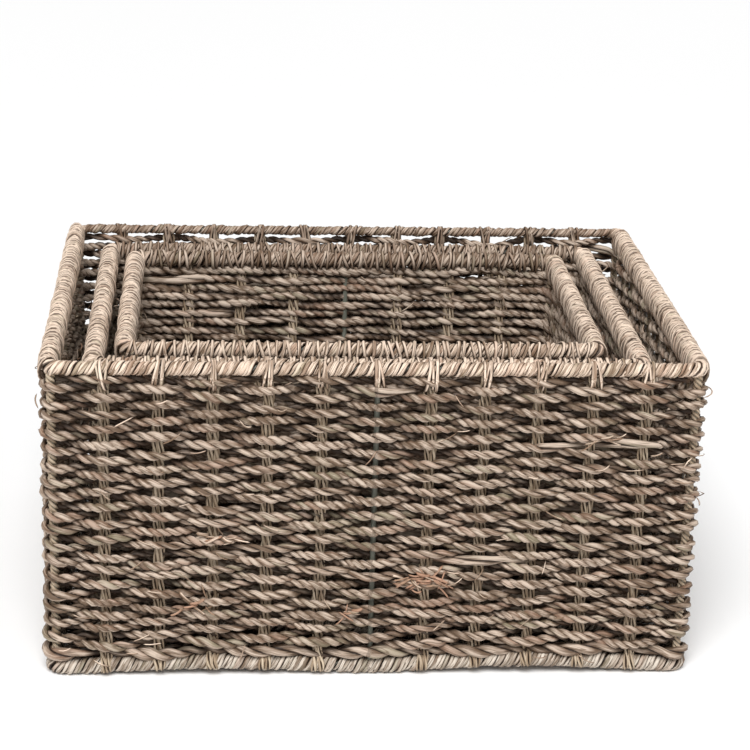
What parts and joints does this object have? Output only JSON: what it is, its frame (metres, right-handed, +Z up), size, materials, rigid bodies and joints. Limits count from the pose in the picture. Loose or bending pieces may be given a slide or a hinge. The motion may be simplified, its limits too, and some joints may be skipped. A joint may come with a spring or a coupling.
{
  "type": "seagrass storage basket set",
  "caption": "Nest of open rectangular storage baskets, woven from seagrass rope over a wire frame, with bound rims; the inner ones lift out.",
  "frame": {"origin": "middle of the large basket's underside, on the surface it stands on", "axes": "+X along the long side, +Y from the front wall to the back wall, +Z up out of the mouth"},
  "size_m": [0.403, 0.308, 0.205],
  "materials": {
    "seagrass_rope": "dry twisted seagrass, taupe and olive brown",
    "seagrass_binding": "dry seagrass leaf, paler than the rope",
    "stake_cord": "thin twisted straw cord",
    "frame_wire": "grey-green painted wire, satin"
  },
  "bodies": {
    "large": {"large_rim_wire": "frame_wire", "large_base_wire": "frame_wire", "large_corner_posts": "frame_wire", "large_mid_posts": "frame_wire", "large_base_cross_wire": "frame_wire", "large_front_stakes": "stake_cord", "large_back_stakes": "stake_cord", "large_left_stakes": "stake_cord", "large_right_stakes": "stake_cord", "large_base_stakes": "stake_cord", "large_front_weave": "seagrass_rope", "large_back_weave": "seagrass_rope", "large_left_weave": "seagrass_rope", "large_right_weave": "seagrass_rope", "large_base_weave": "seagrass_rope", "large_rim_binding": "seagrass_binding", "large_base_binding": "seagrass_binding"},
    "medium": {"medium_rim_wire": "frame_wire", "medium_base_wire": "frame_wire", "medium_corner_posts": "frame_wire", "medium_mid_posts": "frame_wire", "medium_base_cross_wire": "frame_wire", "medium_front_stakes": "stake_cord", "medium_back_stakes": "stake_cord", "medium_left_stakes": "stake_cord", "medium_right_stakes": "stake_cord", "medium_base_stakes": "stake_cord", "medium_front_weave": "seagrass_rope", "medium_back_weave": "seagrass_rope", "medium_left_weave": "seagrass_rope", "medium_right_weave": "seagrass_rope", "medium_base_weave": "seagrass_rope", "medium_rim_binding": "seagrass_binding", "medium_base_binding": "seagrass_binding"},
    "small": {"small_rim_wire": "frame_wire", "small_base_wire": "frame_wire", "small_corner_posts": "frame_wire", "small_mid_posts": "frame_wire", "small_base_cross_wire": "frame_wire", "small_front_stakes": "stake_cord", "small_back_stakes": "stake_cord", "small_left_stakes": "stake_cord", "small_right_stakes": "stake_cord", "small_base_stakes": "stake_cord", "small_front_weave": "seagrass_rope", "small_back_weave": "seagrass_rope", "small_left_weave": "seagrass_rope", "small_right_weave": "seagrass_rope", "small_base_weave": "seagrass_rope", "small_rim_binding": "seagrass_binding", "small_base_binding": "seagrass_binding"}
  },
  "joints": [
    {"name": "medium_lift", "type": "slide", "parent": "large", "child": "medium", "axis": [0, 0, 1], "range_m": [0, 0.25]},
    {"name": "small_lift", "type": "slide", "parent": "medium", "child": "small", "axis": [0, 0, 1], "range_m": [0, 0.25]}
  ]
}
